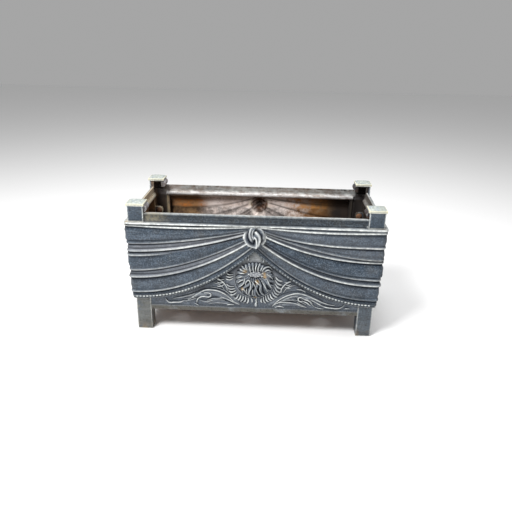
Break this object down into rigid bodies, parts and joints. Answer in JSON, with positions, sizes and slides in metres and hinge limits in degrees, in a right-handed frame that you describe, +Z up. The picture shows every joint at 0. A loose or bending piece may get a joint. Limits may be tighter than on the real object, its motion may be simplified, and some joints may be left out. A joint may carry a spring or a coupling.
{
  "type": "jardiniere",
  "caption": "Rectangular cast iron trough planter on square legs, bolted up from posts and draped panels with knots and flowers.",
  "frame": {"origin": "on the ground, under the middle of the trough", "axes": "+X along the trough to the right, +Y from front to back, +Z up"},
  "size_m": [0.6, 0.3086, 0.3265],
  "materials": {
    "painted_iron": "slate blue-grey paint, worn chalky on the edges",
    "rusted_iron": "bare and rusted",
    "rusted_steel": "bare and rusted"
  },
  "bodies": {
    "root": {"front_panel": "painted_iron", "back_panel": "painted_iron", "left_end_panel": "painted_iron", "right_end_panel": "painted_iron", "front_left_post": "painted_iron", "front_right_post": "painted_iron", "rear_left_post": "painted_iron", "rear_right_post": "painted_iron", "base_plate": "rusted_iron", "corner_bolts": "rusted_steel", "corner_nuts": "rusted_steel", "base_bolts": "rusted_steel", "base_nuts": "rusted_steel"}
  },
  "joints": []
}
